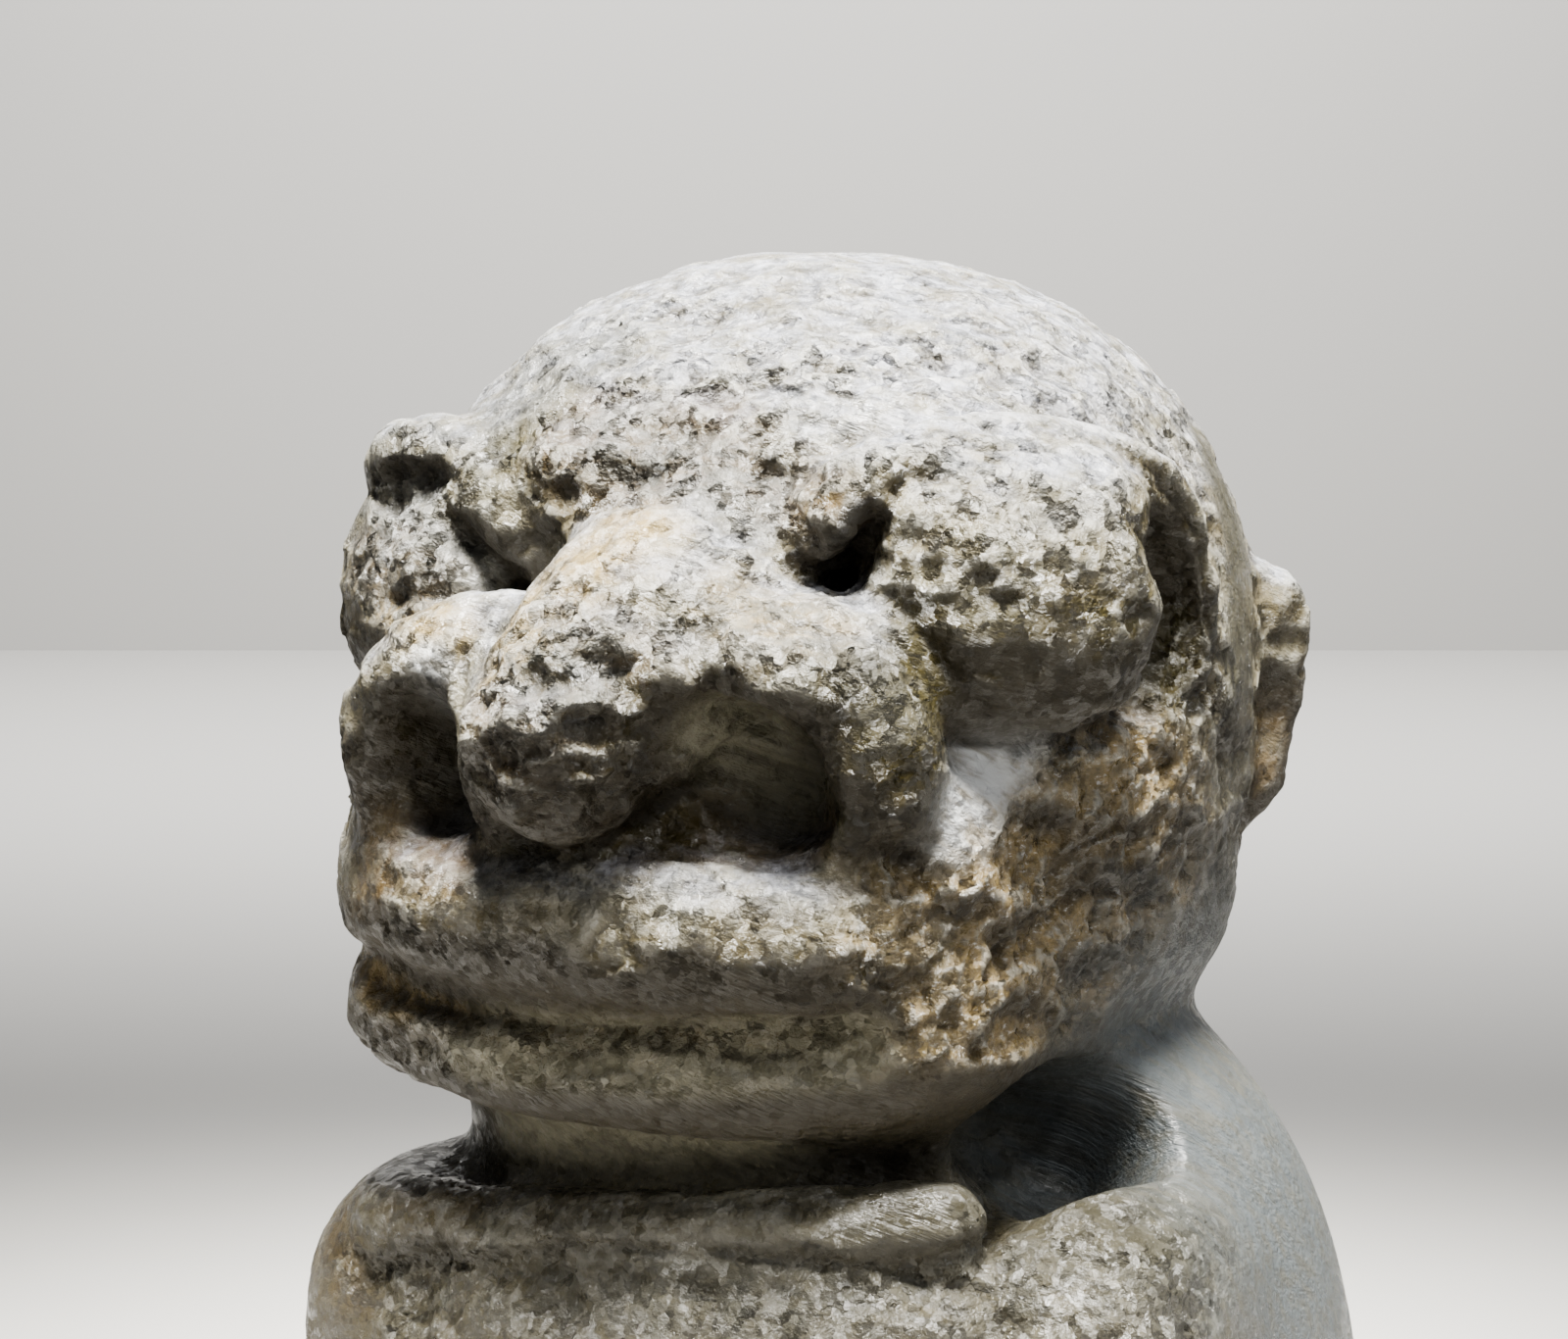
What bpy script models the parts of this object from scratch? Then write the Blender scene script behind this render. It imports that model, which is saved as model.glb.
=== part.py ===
"""A carved soapstone figure, shown as a bust: head, neck, shoulders and folded arms in one stone.

It faces -Y and stands on its flat underside, with the origin under the middle of its bounding box.
"""

import math

import bmesh
import bpy
import numpy as np
from mathutils import Euler, Matrix, Vector

# The stone's height drives every other size. The carving is laid out in parts of it,
# and at this height one part is one millimetre.
FIGURE_HEIGHT = 0.130
PARTS_TALL = 130
PART = FIGURE_HEIGHT / PARTS_TALL

# Where the head sits on the body, in parts, and how far it leans towards its left shoulder.
HEAD_CENTRE = (0, 0, 84)
HEAD_LEAN = (0, 2, 0)

# Each block is a rounded box: its centre, half its size, and how square it is (2 is an ellipsoid).
# The head's blocks are in the head's own frame, and left is the figure's own left, at +X.
HEAD_BLOCKS = {
    "skull": {"centre": (0.7, 5.6, 0), "half": (44.5, 46, 46), "square": 2.28},
    "brow": {"centre": (0, 0, 8), "half": (44, 35, 22), "square": 2.8},
    "jaw": {"centre": (-0.8, -8, -20), "half": (40.2, 32.5, 25), "square": 3.6},
    "cheeks": {"centre": (1.5, 8, -17), "half": (41.5, 37, 24), "square": 2.6},
}

BODY_BLOCKS = {
    "neck": {"centre": (0, 2, 40), "half": (35, 32, 24), "square": 2.4},
    "back and shoulders": {"centre": (2.4, 14.6, 0), "half": (54, 34, 59.5), "square": 2.3},
    "chest": {"centre": (0, -4, 8), "half": (42, 32, 28), "square": 2.6},
    "left upper arm": {"centre": (41, -5, 17), "half": (13, 24, 19), "square": 2.4},
    "right upper arm": {"centre": (-35.5, -11, 15), "half": (13.5, 21, 19), "square": 2.4},
}

FACE_BLOCKS = {
    "left eyeball": {"centre": (32.2, -19, 14.3), "half": (16.3, 14, 15.5), "turn": (0, 0, 38), "square": 2.7},
    "right eyeball": {"centre": (-31, -18, 9), "half": (16.5, 12, 13), "turn": (0, 0, -38), "square": 2.4},
}

# A roll is laid along a path, with a radius at each of its points, and may be taller than it is deep.
FACE_ROLLS = {
    "nose": {
        "path": [(5, -24, 9), (4, -31, 8.5), (0, -39, 4.5), (-3, -45.5, -2)],
        "radius": [15, 15, 12.5, 10.5],
    },
    "left nostril wing": {
        "path": [(10, -36, 6.5), (17, -37.5, 7), (22.5, -37, 5.5), (26, -35.5, 0.5), (26.5, -34.5, -5),
                 (24, -34.5, -9)],
        "radius": [7, 7.3, 7.4, 7.6, 7.6, 6.8],
    },
    "right nostril wing": {
        "path": [(-9, -36, 4), (-16, -37, 5), (-23, -37, 2.5), (-28, -35.5, -2), (-29, -34, -8),
                 (-27, -32, -13)],
        "radius": [6.5, 6.8, 6.6, 6.2, 5.8, 5.2],
    },
    "right nostril inner rim": {
        "path": [(-13, -39, 4), (-14.5, -41.5, -3), (-11, -42.5, -10)],
        "radius": [5, 4.3, 3],
    },
    "left eyelid": {
        "path": [(17, -29, 15.5), (19.5, -31.5, 20), (23.5, -32, 24.5), (28, -29.5, 27.3), (34, -22.5, 28.3),
                 (40, -12.5, 27), (43, -3, 23), (44.5, 2, 15), (44.5, 4, 5)],
        "radius": [3.5, 4.5, 4.3, 4, 3.9, 3.6, 3.4, 2.8, 2],
    },
    "right eyelid": {
        "path": [(-14.5, -27, 13), (-18, -28, 18.5), (-24, -26, 22), (-31, -24, 23.5), (-37, -20, 22.5),
                 (-41.5, -12, 21), (-44, -3, 18), (-45, 2, 12), (-44, 4, 5)],
        "radius": [4.5, 5.2, 5, 4.9, 4.6, 4, 3.5, 2.8, 2],
    },
    "upper lip": {
        "path": [(-32, -29, -20), (-19, -37, -20.5), (0, -40, -21), (19, -38, -21), (28, -33, -21)],
        "radius": [6.2, 6.9, 7, 6.9, 6],
        "tall": 1.25,
    },
    "lower lip": {
        "path": [(-33.3, -26, -34.5), (-18, -34, -36), (0, -36, -36.5), (17, -34, -36), (27.5, -29.5, -35)],
        "radius": [5.5, 6, 6, 6, 5],
    },
    "left ear": {
        "path": [(37, 29, 9), (39, 33, 9), (40, 34, 3), (39, 34, -4), (38, 32, -10), (36, 29, -11)],
        "radius": [4, 4.8, 4, 3.4, 4.2, 3.5],
    },
    "right ear": {
        "path": [(-37, 29, 9), (-39, 33, 9), (-40, 34, 3), (-39, 34, -4), (-38, 32, -10), (-36, 29, -11)],
        "radius": [4, 4.8, 4, 3.4, 4.2, 3.5],
    },
}

BODY_ROLLS = {
    "upper forearm": {
        "path": [(-39, -14, 25), (-34, -25, 27), (-20, -31, 28.5), (0, -34, 30), (20, -32, 32),
                 (30.5, -27, 33.2)],
        "radius": [6.5, 6.2, 5.5, 5, 5, 4.8],
    },
    "lower forearm": {
        "path": [(-36, -21, 15), (-20, -30, 17), (0, -33, 19), (20, -30, 21), (30, -24, 22)],
        "radius": [9, 9, 9, 9, 8.5],
    },
}

# A cut pushes the surface in along a path, by its depth at the middle, out to its radius.
ROUGH_CUTS = {
    "nose plane": {"path": [(-24, -38, 6), (24, -38, 6)], "radius": 20, "depth": 6, "push": (0, 1, 0)},
    "left eye socket": {
        "path": [(24, -32, 12), (42, -16, 12)],
        "radius": 20,
        "depth": 5,
        "push": (-0.6, 0.8, 0),
    },
    "right eye socket": {
        "path": [(-24, -32, 9), (-42, -16, 9)],
        "radius": 20,
        "depth": 5,
        "push": (0.6, 0.8, 0),
    },
}

HEAD_CUTS = {
    "mouth slit": {
        "path": [(-41, -18, -27), (-33, -35, -29), (-17, -42, -31), (0, -44, -31.5), (17, -42, -31.5),
                 (28, -38, -30.5)],
        "radius": 3.6,
        "depth": 3.6,
    },
    "left nostril": {
        "path": [(15, -44, -1), (18, -42, -6)],
        "radius": 9.5,
        "depth": 10,
        "push": (0, 1, 0),
    },
    "right nostril": {
        "path": [(-21, -44, -4), (-20, -42, -10)],
        "radius": 7,
        "depth": 8,
        "push": (0, 1, 0),
    },
    "left inner eye corner": {
        "path": [(24.5, -32, 20.5), (20.5, -31, 13)],
        "radius": 4.5,
        "depth": 10,
        "push": (-0.3, 0.95, 0),
    },
    "right inner eye corner": {
        "path": [(-22, -28, 15), (-16, -28, 9)],
        "radius": 4,
        "depth": 6,
        "push": (0, 1, 0),
    },
    "left outer eye hollow": {
        "path": [(44, -5, 17), (44, -5, 9), (43, -7, 3)],
        "radius": 5,
        "depth": 4,
        "push": (-1, 0.3, 0),
    },
}

BODY_CUTS = {
    "left armpit": {"path": [(33, -14, 40), (37, -3, 39)], "radius": 9, "depth": 15},
}

ROUGH_VOXEL = 1.5 * PART
VOXEL = 0.9 * PART
# About one in seven of these is below the flat underside, and is cut away.
TRIANGLES = 10000
RIM_ANGLE = 60

STONE_COLOUR = (0.36, 0.33, 0.28, 1)
STONE_ROUGHNESS = 0.6


def frame_at(centre, lean=(0, 0, 0)):
    turned = Euler([math.radians(a) for a in lean]).to_matrix().to_4x4()
    return Matrix.Scale(PART, 4) @ Matrix.Translation(Vector(centre)) @ turned


def unit_ball(subdivisions):
    ball = bmesh.new()
    bmesh.ops.create_icosphere(ball, subdivisions=subdivisions, radius=1)
    points = np.array([vert.co for vert in ball.verts])
    faces = np.array([[vert.index for vert in face.verts] for face in ball.faces])
    ball.free()
    return points, faces


def placed(matrix, points):
    matrix = np.array(matrix)
    return points @ matrix[:3, :3].T + matrix[:3, 3]


def block(ball, frame, centre, half, square=2, turn=(0, 0, 0)):
    """A rounded box: a ball whose points are moved out to a superellipsoid of that squareness."""
    turned = Euler([math.radians(a) for a in turn]).to_matrix().to_4x4()
    place = frame @ Matrix.Translation(Vector(centre)) @ turned @ Matrix.Diagonal((*half, 1))
    points, faces = ball
    reach = (np.abs(points) ** square).sum(1) ** (1 / square)
    return placed(place, points / reach[:, None]), faces


def smooth_path(points, steps=10):
    """Points along a smooth curve through the given ones, with any further numbers that they carry."""
    rows = np.array(points, float)
    ends = np.vstack([2 * rows[0] - rows[1], rows, 2 * rows[-1] - rows[-2]])
    found = []
    for a, b, c, d in zip(ends, ends[1:], ends[2:], ends[3:]):
        for t in np.arange(steps) / steps:
            bend = (2 * a - 5 * b + 4 * c - d) * t**2 + (3 * b - a - 3 * c + d) * t**3
            found.append(b + 0.5 * ((c - a) * t + bend))
    return np.array(found + [rows[-1]])


def roll(ball, frame, path, radius, tall=1):
    """A roll of clay: a row of overlapping balls along a smooth path."""
    points, faces = ball
    found = []
    for x, y, z, r in smooth_path([(*p, r) for p, r in zip(path, radius)]):
        place = frame @ Matrix.Translation((x, y, z)) @ Matrix.Diagonal((r, r, r * tall, 1))
        found.append((placed(place, points), faces))
    return found


def make_one(figure, voxel, smoothing):
    """Makes one closed skin of all the clay that overlaps, and softens it."""
    remesh = figure.modifiers.new("one stone", "REMESH")
    remesh.mode = "VOXEL"
    remesh.voxel_size = voxel
    smooth = figure.modifiers.new("soften", "SMOOTH")
    smooth.iterations = smoothing
    smooth.factor = 0.5
    settle(figure)


def settle(figure):
    """Applies the figure's modifiers."""
    graph = bpy.context.evaluated_depsgraph_get()
    made = bpy.data.meshes.new_from_object(figure.evaluated_get(graph))
    figure.modifiers.clear()
    old, figure.data = figure.data, made
    bpy.data.meshes.remove(old)


def add_clay(figure, pieces):
    """Adds closed pieces, each its points and its faces, to the figure's mesh."""
    extra = bpy.data.meshes.new("clay")
    offsets = np.cumsum([0] + [len(points) for points, _ in pieces])
    points = np.concatenate([points for points, _ in pieces])
    faces = np.concatenate([faces + offset for (_, faces), offset in zip(pieces, offsets)])
    extra.from_pydata(points, [], faces)
    clay = bmesh.new()
    clay.from_mesh(figure.data)
    clay.from_mesh(extra)
    clay.to_mesh(figure.data)
    clay.free()
    bpy.data.meshes.remove(extra)


def cut(points, normals, frame, path, radius, depth, push=None):
    """Pushes points in near the path, along their own normals or all one way."""
    line = np.array([frame @ Vector(p) for p in smooth_path(path, 6)])
    starts, steps = line[:-1], line[1:] - line[:-1]
    nearest = np.full(len(points), np.inf)
    for start, step in zip(starts, steps):
        along = np.clip((points - start) @ step / (step @ step), 0, 1)
        nearest = np.minimum(nearest, np.linalg.norm(points - start - along[:, None] * step, axis=1))
    share = np.clip(1 - (nearest / (radius * PART)) ** 2, 0, 1) ** 2
    way = -normals if push is None else np.array(frame.to_3x3().normalized() @ Vector(push))
    return points + way * (share * depth * PART)[:, None]


def make_cuts(figure, frame, cuts):
    mesh = figure.data
    points, normals = np.zeros((2, len(mesh.vertices), 3), np.float32)
    for stroke in cuts.values():
        mesh.vertices.foreach_get("co", points.reshape(-1))
        mesh.vertex_normals.foreach_get("vector", normals.reshape(-1))
        moved = cut(points, normals, frame, **stroke)
        mesh.vertices.foreach_set("co", moved.astype(np.float32).reshape(-1))
        mesh.update()


def simplify(figure, triangles):
    decimate = figure.modifiers.new("fewer faces", "DECIMATE")
    decimate.ratio = triangles / (2 * len(figure.data.polygons))
    decimate.use_collapse_triangulate = True
    settle(figure)


def cut_flat(figure):
    """Cuts the figure off level at Z = 0, which leaves the flat underside that it stands on."""
    stone = bmesh.new()
    stone.from_mesh(figure.data)
    everything = stone.verts[:] + stone.edges[:] + stone.faces[:]
    level = {"plane_co": (0, 0, 0), "plane_no": (0, 0, -1)}
    made = bmesh.ops.bisect_plane(stone, geom=everything, clear_outer=True, **level)
    rim = [edge for edge in made["geom_cut"] if isinstance(edge, bmesh.types.BMEdge)]
    bmesh.ops.triangle_fill(stone, edges=rim, use_beauty=True, normal=(0, 0, -1))
    stone.to_mesh(figure.data)
    stone.free()


def stand_at_origin(figure):
    """Moves the figure so that the middle of its bounding box is over the origin."""
    corners = np.array(figure.bound_box)
    middle = (corners.min(0) + corners.max(0)) / 2
    figure.location = (-middle[0], -middle[1], 0)


def soapstone():
    stone = bpy.data.materials.new("weathered soapstone")
    stone.use_nodes = True
    shader = stone.node_tree.nodes["Principled BSDF"]
    shader.inputs["Base Color"].default_value = STONE_COLOUR
    shader.inputs["Roughness"].default_value = STONE_ROUGHNESS
    shader.inputs["Metallic"].default_value = 0
    return stone


def carve_figure():
    """Lays up the rough masses, then the features on them, and cuts the hollows between them."""
    figure = bpy.data.objects.new("figure", bpy.data.meshes.new("figure"))
    bpy.context.scene.collection.objects.link(figure)
    body, head = frame_at((0, 0, 0)), frame_at(HEAD_CENTRE, HEAD_LEAN)
    fine, coarse = unit_ball(6), unit_ball(3)
    rough = [block(fine, head, **form) for form in HEAD_BLOCKS.values()]
    rough += [block(fine, body, **form) for form in BODY_BLOCKS.values()]
    add_clay(figure, rough)
    make_one(figure, ROUGH_VOXEL, smoothing=8)
    make_cuts(figure, head, ROUGH_CUTS)
    details = [block(fine, head, **form) for form in FACE_BLOCKS.values()]
    for frame, rolls in ((head, FACE_ROLLS), (body, BODY_ROLLS)):
        for form in rolls.values():
            details += roll(coarse, frame, **form)
    add_clay(figure, details)
    make_one(figure, VOXEL, smoothing=6)
    make_cuts(figure, head, HEAD_CUTS)
    make_cuts(figure, body, BODY_CUTS)
    make_one(figure, VOXEL, smoothing=2)
    return figure


def main():
    for old in list(bpy.data.objects):
        bpy.data.objects.remove(old)
    figure = carve_figure()
    simplify(figure, TRIANGLES)
    cut_flat(figure)
    stand_at_origin(figure)
    figure.data.materials.clear()
    figure.data.materials.append(soapstone())
    figure.data.shade_smooth()
    figure.data.set_sharp_from_angle(angle=math.radians(RIM_ANGLE))


main()
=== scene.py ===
import itertools
import math

import bpy
import numpy as np
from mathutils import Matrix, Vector
from mathutils.bvhtree import BVHTree


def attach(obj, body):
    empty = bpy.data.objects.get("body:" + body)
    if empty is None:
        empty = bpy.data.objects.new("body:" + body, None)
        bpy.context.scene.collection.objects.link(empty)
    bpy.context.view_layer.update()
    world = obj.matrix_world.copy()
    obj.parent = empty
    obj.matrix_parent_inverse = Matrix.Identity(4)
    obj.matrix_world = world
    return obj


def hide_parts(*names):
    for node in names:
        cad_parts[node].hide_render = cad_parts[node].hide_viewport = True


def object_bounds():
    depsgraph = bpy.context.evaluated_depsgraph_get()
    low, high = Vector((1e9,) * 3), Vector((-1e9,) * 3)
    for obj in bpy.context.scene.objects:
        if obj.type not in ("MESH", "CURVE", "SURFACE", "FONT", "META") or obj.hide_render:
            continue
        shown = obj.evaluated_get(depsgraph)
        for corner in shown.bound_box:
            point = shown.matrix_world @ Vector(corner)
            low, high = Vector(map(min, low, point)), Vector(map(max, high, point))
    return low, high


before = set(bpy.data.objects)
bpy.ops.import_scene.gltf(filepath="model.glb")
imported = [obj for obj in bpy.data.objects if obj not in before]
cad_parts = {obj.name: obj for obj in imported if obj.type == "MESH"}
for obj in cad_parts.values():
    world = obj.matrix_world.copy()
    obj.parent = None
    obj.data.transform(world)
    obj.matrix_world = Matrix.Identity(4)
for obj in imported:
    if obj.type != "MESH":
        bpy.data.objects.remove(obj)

# Lengths below are in millimetres where a name or a comment doesn't say otherwise.
mm = 0.001
cadBox = [list(corner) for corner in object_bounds()]

# The photograph, and where its camera stood: turned from the face, a little above it.
photoWide, photoTall = 1600, 1366
azimuth, elevation = math.radians(28), math.radians(5)
cameraDistance = 620
pixelsPerMm = 9.6
headCentre = Vector((-2.39, 2.15, 84))
headPixel = (815, 700)
sensorWidth = 36

right = Vector((math.cos(azimuth), math.sin(azimuth), 0))
towards = Vector((math.sin(azimuth) * math.cos(elevation),
                  -math.cos(azimuth) * math.cos(elevation), math.sin(elevation)))
up = towards.cross(right)
aim = headCentre - right * (headPixel[0] - photoWide / 2) / pixelsPerMm
aim += up * (headPixel[1] - photoTall / 2) / pixelsPerMm
eye = aim + towards * cameraDistance
focalPixels = pixelsPerMm * cameraDistance

# The stone. Its lines are pixels of the photograph, and each lies on the surface seen there.
stone = {
    "name": "soapstone_bust",
    "voxel": 0.45,
    "triangles": 196000,
    "swell": 0.25,  # how far rough skin stands out before it's scarred, so that scars don't thin the stone
    # How rough the surface is: 0 is polished, 1 is the brow's common roughness, 2 crumbles.
    "rough": {
        "forehead": {"pixels": [(640, 380), (800, 330), (1000, 330), (1130, 400)],
                     "radius": 16, "value": 0.85},
        "forehead's pitted row": {"pixels": [(790, 380), (870, 372), (960, 362)],
                                  "radius": 4, "value": 1.25},
        "above the nose": {"pixels": [(600, 450), (700, 440), (760, 510), (820, 560)],
                           "radius": 8, "value": 1.15},
        "brow groove": {"pixels": [(880, 430), (940, 424), (1040, 425), (1120, 440)],
                        "radius": 2.5, "value": 0.45},
        "near lid": {"pixels": [(930, 465), (1040, 470), (1140, 500)], "radius": 5, "value": 0.9},
        "near eye": {"pixels": [(960, 560), (1080, 590)], "radius": 12, "value": 0.9},
        "under the near eye": {"pixels": [(990, 690), (1080, 710)], "radius": 7, "value": 0.5},
        "strip beside the eye": {"pixels": [(1195, 580), (1205, 690)], "radius": 4, "value": 0.5},
        "armpit": {"pixels": [(1090, 1170), (1135, 1180)], "radius": 7, "value": 0.4},
        "strip behind the eye": {"pixels": [(1240, 480), (1262, 560), (1266, 640), (1262, 720)],
                                 "radius": 5, "value": 0.12},
        "far eye": {"pixels": [(420, 520), (400, 560)], "radius": 9, "value": 1.3},
        "far nostril": {"pixels": [(400, 640), (440, 690)], "radius": 6, "value": 0.8},
        "nose bridge": {"pixels": [(640, 550), (580, 600)], "radius": 8, "value": 0.75},
        "nose lobe": {"pixels": [(550, 700), (560, 790)], "radius": 11, "value": 1.35},
        "near nostril's top": {"pixels": [(720, 640), (820, 640), (880, 690)], "radius": 6, "value": 0.9},
        "near nostril's side": {"pixels": [(870, 780), (920, 760)], "radius": 6, "value": 0.65},
        "near cheek": {"pixels": [(1010, 950), (1120, 880), (1190, 780)], "radius": 17, "value": 1.8},
        "spot by the nose": {"pixels": [(970, 835), (1005, 790), (1035, 755)], "radius": 5, "value": 0.5},
        "cheek's edge": {"pixels": [(1230, 760), (1240, 860), (1215, 960)], "radius": 4, "value": 0.8},
        "upper lip": {"pixels": [(450, 920), (600, 900), (800, 920)], "radius": 8, "value": 0.7},
        "lower lip": {"pixels": [(450, 1070), (700, 1080), (880, 1070)], "radius": 5, "value": 0.95},
        "chin": {"pixels": [(560, 1140), (760, 1150), (960, 1130), (1100, 1090)],
                 "radius": 6, "value": 0.3},
        "forearms": {"pixels": [(380, 1240), (640, 1235), (860, 1240)], "radius": 9, "value": 0.75},
        "lower forearm": {"pixels": [(420, 1330), (640, 1320), (980, 1340)], "radius": 7, "value": 0.9},
        "hand": {"pixels": [(900, 1240), (980, 1235)], "radius": 5, "value": 0.35},
        "near arm": {"pixels": [(1080, 1290), (1180, 1320)], "radius": 11, "value": 0.8},
        "shoulder": {"pixels": [(1220, 1080), (1300, 1200), (1340, 1300)], "radius": 18, "value": 0.05},
    },
    # Creases and hollows sharper than the solid has them. A depth below 0 fills a hollow.
    "creases": {
        "above the near lid": {"pixels": [(865, 447), (920, 437), (1000, 433), (1100, 444), (1180, 478),
                                          (1222, 540)], "radius": 2.2, "depth": 0.9},
        "near lid's fold": {"pixels": [(912, 505), (925, 488), (965, 486)], "radius": 1.6, "depth": 0.8},
        "near eye's rim": {"pixels": [(1228, 560), (1238, 620), (1240, 700)], "radius": 1.6, "depth": 0.7},
        "beside the near eye": {"pixels": [(1178, 545), (1188, 610), (1192, 690)], "radius": 6, "depth": 2},
        "below the near nostril": {"pixels": [(670, 840), (740, 848), (820, 842), (870, 834)],
                                   "radius": 4.5, "depth": 1.3},
        "near eye's inner end": {"pixels": [(852, 548), (872, 512)], "radius": 4.5, "depth": -1.4},
        "near nostril's roof": {"pixels": [(690, 690), (750, 684), (815, 700)], "radius": 6, "depth": -2.6},
        "near nostril's hollow": {"pixels": [(715, 745), (770, 750)], "radius": 8, "depth": -2},
        "under the near eye": {"pixels": [(1000, 720), (1060, 752), (1120, 745), (1170, 715)],
                               "radius": 2.5, "depth": 0.9},
        "between nose and near eye": {"pixels": [(905, 610), (950, 660), (985, 705)],
                                      "radius": 2.2, "depth": 1},
        "nose and far nostril": {"pixels": [(490, 620), (470, 680), (465, 740), (480, 790)],
                                 "radius": 1.8, "depth": 1.1},
        "far nostril's top": {"pixels": [(400, 612), (450, 606), (500, 603)], "radius": 1.4, "depth": 0.8},
        "top of the nose": {"pixels": [(530, 560), (580, 528), (650, 512), (720, 524), (780, 560)],
                            "radius": 1.6, "depth": 0.6},
        "lip's top edge": {"pixels": [(470, 868), (600, 872), (760, 880), (860, 872)],
                           "radius": 2, "depth": 0.8},
        "mouth": {"pixels": [(380, 1000), (450, 1030), (560, 1046), (700, 1050), (820, 1046), (900, 1050)],
                  "radius": 1.8, "depth": 1},
        "lip's near end": {"pixels": [(905, 862), (935, 930), (940, 985), (918, 1060)],
                           "radius": 1.6, "depth": 0.5},
        "hand's end": {"pixels": [(1000, 1205), (1013, 1235), (990, 1270), (950, 1288)],
                       "radius": 1.5, "depth": 0.7},
        "between the forearms": {"pixels": [(450, 1290), (580, 1270), (730, 1280), (890, 1290),
                                            (1010, 1322)], "radius": 1.6, "depth": 0.7},
        "near arm's edge": {"pixels": [(1025, 1290), (1020, 1330), (1020, 1360)],
                            "radius": 1.5, "depth": 0.6},
        "far wrist's upper notch": {"pixels": [(375, 1205), (430, 1215)], "radius": 1.4, "depth": 0.8},
        "far wrist's lower notch": {"pixels": [(395, 1290), (450, 1280)], "radius": 1.4, "depth": 0.7},
        "crack in the shoulder": {"pixels": [(1140, 1055), (1165, 1042), (1192, 1060)],
                                  "radius": 0.9, "depth": 0.5},
        "chip below the bridge": {"pixels": [(606, 692), (636, 686), (656, 676)],
                                  "radius": 2.6, "depth": 1.2},
        "arched notch in the lip": {"pixels": [(603, 972), (610, 952), (624, 943), (640, 955), (646, 974)],
                                    "radius": 1.5, "depth": 0.5},
        "long gouge in the cheek": {"pixels": [(1062, 958), (1104, 922)], "radius": 1.8, "depth": 1.1},
        "short gouge in the cheek": {"pixels": [(1012, 1000), (1040, 968)], "radius": 1.8, "depth": 1.1},
        "pit in the cheek": {"pixels": [(1022, 962)], "radius": 2.4, "depth": 1},
        "pit in the brow": {"pixels": [(770, 486), (785, 482)], "radius": 2.6, "depth": 1},
        "pit beside the eye": {"pixels": [(1196, 672), (1200, 694)], "radius": 2.8, "depth": 1.1},
        "far eye's upper hollow": {"pixels": [(398, 492), (438, 488)], "radius": 2.6, "depth": 1},
        "far eye's inner hollow": {"pixels": [(452, 522), (490, 560), (530, 588)],
                                   "radius": 2.2, "depth": 1},
        "flakes off the brow": {"pixels": [(836, 372), (872, 380)], "radius": 2, "depth": 0.9},
        "more flakes off the brow": {"pixels": [(926, 360), (966, 368)], "radius": 1.8, "depth": 0.8},
        "fold at the mouth's corner": {"pixels": [(885, 868), (925, 884), (950, 912)],
                                       "radius": 1.3, "depth": 0.7},
        "scratch on the arm": {"pixels": [(1185, 1150), (1187, 1212)], "radius": 0.9, "depth": 0.4},
        "dent by the hand": {"pixels": [(1052, 1208), (1082, 1212)], "radius": 2, "depth": 0.7},
    },
    # Waves in the skin, from the broad swell to the grain. They keep between the least and most roughness.
    "waves": {
        "broad swell": {"size": 13, "height": 0.3, "octaves": 1, "least": 0.15, "most": 1, "seed": 5},
        "grain": {"size": 1.8, "height": 0.08, "octaves": 2, "least": 0.03, "most": 1.8, "seed": 45},
    },
    # Struck scars. There are none where roughness times share is below from, and what it has over that, up to
    # most, is how closely they lie.
    "scars": {
        "blows": {"along": "level", "size": 8, "depth": 0.19, "share": 1, "from": 0.1, "most": 1.2,
                  "where": "worked", "seed": 41},
        "chips": {"along": "level", "size": 3.6, "depth": 0.33, "share": 1, "from": 0.15, "most": 1.4,
                  "where": "off the cheek", "seed": 42},
        "cheek's chips": {"along": "slant", "size": 3.4, "depth": 0.27, "share": 0.8, "from": 0, "most": 2,
                          "where": "cheek", "seed": 43},
        "small chips": {"along": "bent", "size": 2.2, "depth": 0.26, "share": 1, "from": 0.3, "most": 1.5,
                        "where": "crumbling", "seed": 44},
    },
    # Flakes that broke off along their own planes.
    "flakes": {
        "large flakes": {"along": "level", "size": 4.2, "height": 0.08, "where": "rough", "seed": 46},
        "small flakes": {"along": "bent", "size": 1.9, "height": 0.1, "where": "crumbling", "seed": 47},
    },
    # Where each stain, dusting or polish lies, and where shade or light is painted on.
    "tints": {
        "buff": {
            "the bridge of the nose": {"pixels": [(640, 540), (560, 600), (520, 650)], "radius": 7},
            "top of the near nostril": {"pixels": [(750, 620), (840, 650)], "radius": 5},
            "top of the far nostril": {"pixels": [(400, 630), (450, 640)], "radius": 4},
        },
        "brown": {
            "brow": {"pixels": [(590, 450), (640, 470), (720, 450)], "radius": 7},
            "between the eyes": {"pixels": [(760, 480), (840, 520)], "radius": 4},
            "near eye's inner end": {"pixels": [(850, 520)], "radius": 4},
            "nose lobe": {"pixels": [(500, 740), (560, 800)], "radius": 7},
            "far cheek": {"pixels": [(372, 800), (380, 900)], "radius": 6},
            "far eye": {"pixels": [(375, 560), (430, 590)], "radius": 5},
            "far fold": {"pixels": [(400, 850), (450, 880)], "radius": 5},
            "below the nose": {"pixels": [(560, 850), (700, 850), (840, 845)], "radius": 4},
            "nose lobe's side": {"pixels": [(600, 760), (640, 700)], "radius": 6},
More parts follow.
